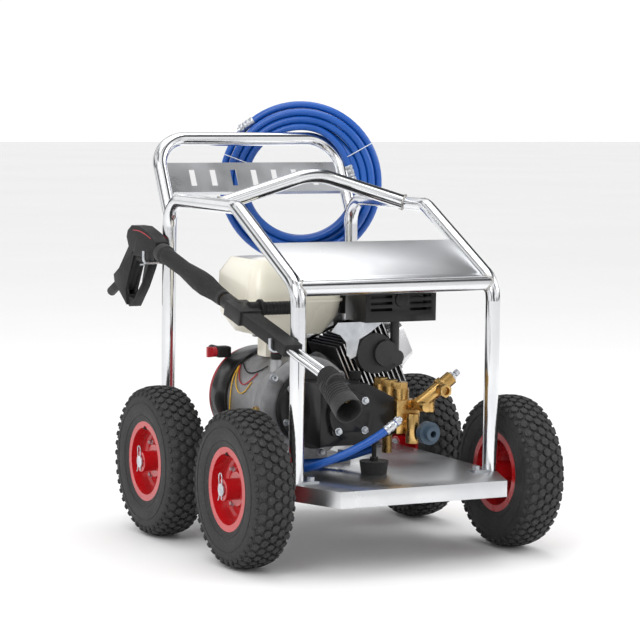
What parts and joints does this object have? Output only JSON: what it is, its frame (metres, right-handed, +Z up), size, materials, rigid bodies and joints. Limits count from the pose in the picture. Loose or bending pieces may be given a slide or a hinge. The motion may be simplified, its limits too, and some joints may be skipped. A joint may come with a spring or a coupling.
{
  "type": "pressure washer",
  "caption": "Engine-driven pressure washer on a four-wheeled tubular steel trolley, with a brass-headed plunger pump, a coiled blue hose and a twin lance on hooks.",
  "frame": {"origin": "on the ground, midway between the lance nozzle and the gun inlet along its length, on the middle plane between the wheels", "axes": "+Z up; -Y towards the nozzle end, which is the front; -X towards the lance side"},
  "size_m": [0.744, 1.206, 0.952],
  "materials": {
    "tube_steel": "polished bright tube and sheet",
    "zinc": "zinc plated",
    "tyre": "matt moulded rubber",
    "rim_red": "gloss enamel",
    "casting": "bead blasted casting",
    "fins": "black painted castings with worn fin edges",
    "bright_cast": "bright pressed cover",
    "black_paint": "satin enamel",
    "cream_paint": "gloss enamel",
    "red_plastic": "moulded",
    "black_plastic": "moulded with a fine grain",
    "brass": "machined and forged",
    "ceramic": "polished ceramic",
    "blue_cap": "moulded",
    "rubber": "moulded",
    "hose_blue": "smooth extruded hose"
  },
  "bodies": {
    "frame": {"base_tray": "tube_steel", "left_hoop": "tube_steel", "right_hoop": "tube_steel", "front_cross_tube": "tube_steel", "lifting_arch": "tube_steel", "front_panel": "tube_steel", "push_handle": "tube_steel", "rear_panel": "tube_steel", "hoop_feet": "zinc", "axles": "zinc", "lance_hooks": "zinc", "crankcase": "casting", "side_cover": "casting", "barrel": "fins", "cylinder_head": "fins", "rocker_cover": "bright_cast", "piston": "casting", "blower_housing": "black_paint", "recoil_cover": "red_plastic", "fuel_tank": "cream_paint", "carburettor": "casting", "air_cleaner": "black_plastic", "muffler": "black_paint", "muffler_guard": "black_paint", "heat_deflector": "zinc", "engine_fittings": "zinc", "gearbox_housing": "black_paint", "pump_crankcase": "black_paint", "pump_cover": "black_paint", "plungers": "ceramic", "pump_head": "brass", "unloader_valve": "brass", "pump_foot": "rubber", "bypass_hose": "hose_blue"},
    "front_left_wheel": {"front_left_tyre": "tyre", "front_left_rim": "rim_red"},
    "front_right_wheel": {"front_right_tyre": "tyre", "front_right_rim": "rim_red"},
    "rear_left_wheel": {"rear_left_tyre": "tyre", "rear_left_rim": "rim_red"},
    "rear_right_wheel": {"rear_right_tyre": "tyre", "rear_right_rim": "rim_red"},
    "engine_shaft": {"crankshaft": "casting", "flywheel": "casting"},
    "pump_drive": {"pump_shaft": "zinc"},
    "cap": {"fuel_cap": "black_plastic"},
    "throttle": {"throttle_lever": "casting"},
    "switch": {"engine_switch": "red_plastic"},
    "pull_handle": {"recoil_handle": "black_plastic"},
    "pressure_knob": {"unloader_knob": "zinc"},
    "inlet_nut": {"inlet_coupling": "blue_cap"},
    "oil_cap": {"pump_dipstick": "black_plastic"},
    "coil": {"hose_coil": "hose_blue"},
    "lance": {"gun_body": "black_plastic", "lance_grip": "rubber", "lance_tubes": "black_plastic", "nozzle_shroud": "rubber"},
    "gun_trigger": {"trigger": "black_plastic"},
    "latch": {"safety_latch": "zinc"},
    "turn_handle": {"side_handle": "black_plastic"}
  },
  "joints": [
    {"name": "front_left_spin", "type": "hinge", "parent": "frame", "child": "front_left_wheel", "pos_m": [-0.32, -0.23, 0.165], "axis": [1, 0, 0], "continuous": true},
    {"name": "front_right_spin", "type": "hinge", "parent": "frame", "child": "front_right_wheel", "pos_m": [0.32, -0.23, 0.165], "axis": [1, 0, 0], "continuous": true},
    {"name": "rear_left_spin", "type": "hinge", "parent": "frame", "child": "rear_left_wheel", "pos_m": [-0.32, 0.19, 0.165], "axis": [1, 0, 0], "continuous": true},
    {"name": "rear_right_spin", "type": "hinge", "parent": "frame", "child": "rear_right_wheel", "pos_m": [0.32, 0.19, 0.165], "axis": [1, 0, 0], "continuous": true},
    {"name": "crank_spin", "type": "hinge", "parent": "frame", "child": "engine_shaft", "pos_m": [-0.12, -0.09, 0.31], "axis": [0, 1, 0], "continuous": true},
    {"name": "pump_spin", "type": "hinge", "parent": "frame", "child": "pump_drive", "pos_m": [-0.096, -0.203, 0.31], "axis": [0, 1, 0], "continuous": true},
    {"name": "cap_turn", "type": "hinge", "parent": "frame", "child": "cap", "pos_m": [-0.092, 0.02, 0.5], "axis": [0, 0, 1], "range_deg": [0, 90]},
    {"name": "throttle_turn", "type": "hinge", "parent": "frame", "child": "throttle", "pos_m": [-0.06, 0.108, 0.448], "axis": [0, 1, 0], "range_deg": [0, 14]},
    {"name": "switch_turn", "type": "hinge", "parent": "frame", "child": "switch", "pos_m": [-0.232, 0.1073, 0.41], "axis": [1, 0, 0], "range_deg": [0, 90]},
    {"name": "pull_slide", "type": "slide", "parent": "frame", "child": "pull_handle", "axis": [-0.9, 0, 0.436], "range_m": [0, 0.4], "stiffness_N_per_m": 20},
    {"name": "pressure_turn", "type": "hinge", "parent": "frame", "child": "pressure_knob", "pos_m": [0.13197, -0.294, 0.38265], "axis": [0.816, 0, 0.578], "range_deg": [-180, 180]},
    {"name": "inlet_turn", "type": "hinge", "parent": "frame", "child": "inlet_nut", "pos_m": [0.062, -0.33, 0.272], "axis": [0, 1, 0], "continuous": true},
    {"name": "oil_cap_turn", "type": "hinge", "parent": "frame", "child": "oil_cap", "pos_m": [-0.034, -0.176, 0.39], "axis": [0, 0, 1], "range_deg": [0, 90]},
    {"name": "lance_lift", "type": "slide", "parent": "frame", "child": "lance", "axis": [0, 0, 1], "range_m": [0, 0.09]},
    {"name": "coil_lift", "type": "slide", "parent": "frame", "child": "coil", "axis": [0, 0.64, 0.7684], "range_m": [0, 0.3]},
    {"name": "trigger_squeeze", "type": "hinge", "parent": "lance", "child": "gun_trigger", "pos_m": [-0.268, 0.436, 0.606], "axis": [1, 0, 0], "range_deg": [0, 10], "stiffness_Nm_per_rad": 2},
    {"name": "latch_turn", "type": "hinge", "parent": "lance", "child": "latch", "pos_m": [-0.268, 0.398, 0.581], "axis": [1, 0, 0], "range_deg": [0, 20]},
    {"name": "side_turn", "type": "hinge", "parent": "lance", "child": "turn_handle", "pos_m": [-0.2, -0.11714, 0.52418], "axis": [1, 0, 0], "range_deg": [0, 90]}
  ],
  "couplings": [
    {"joint": "pump_spin", "follows": "crank_spin", "ratio": 0.45455}
  ]
}
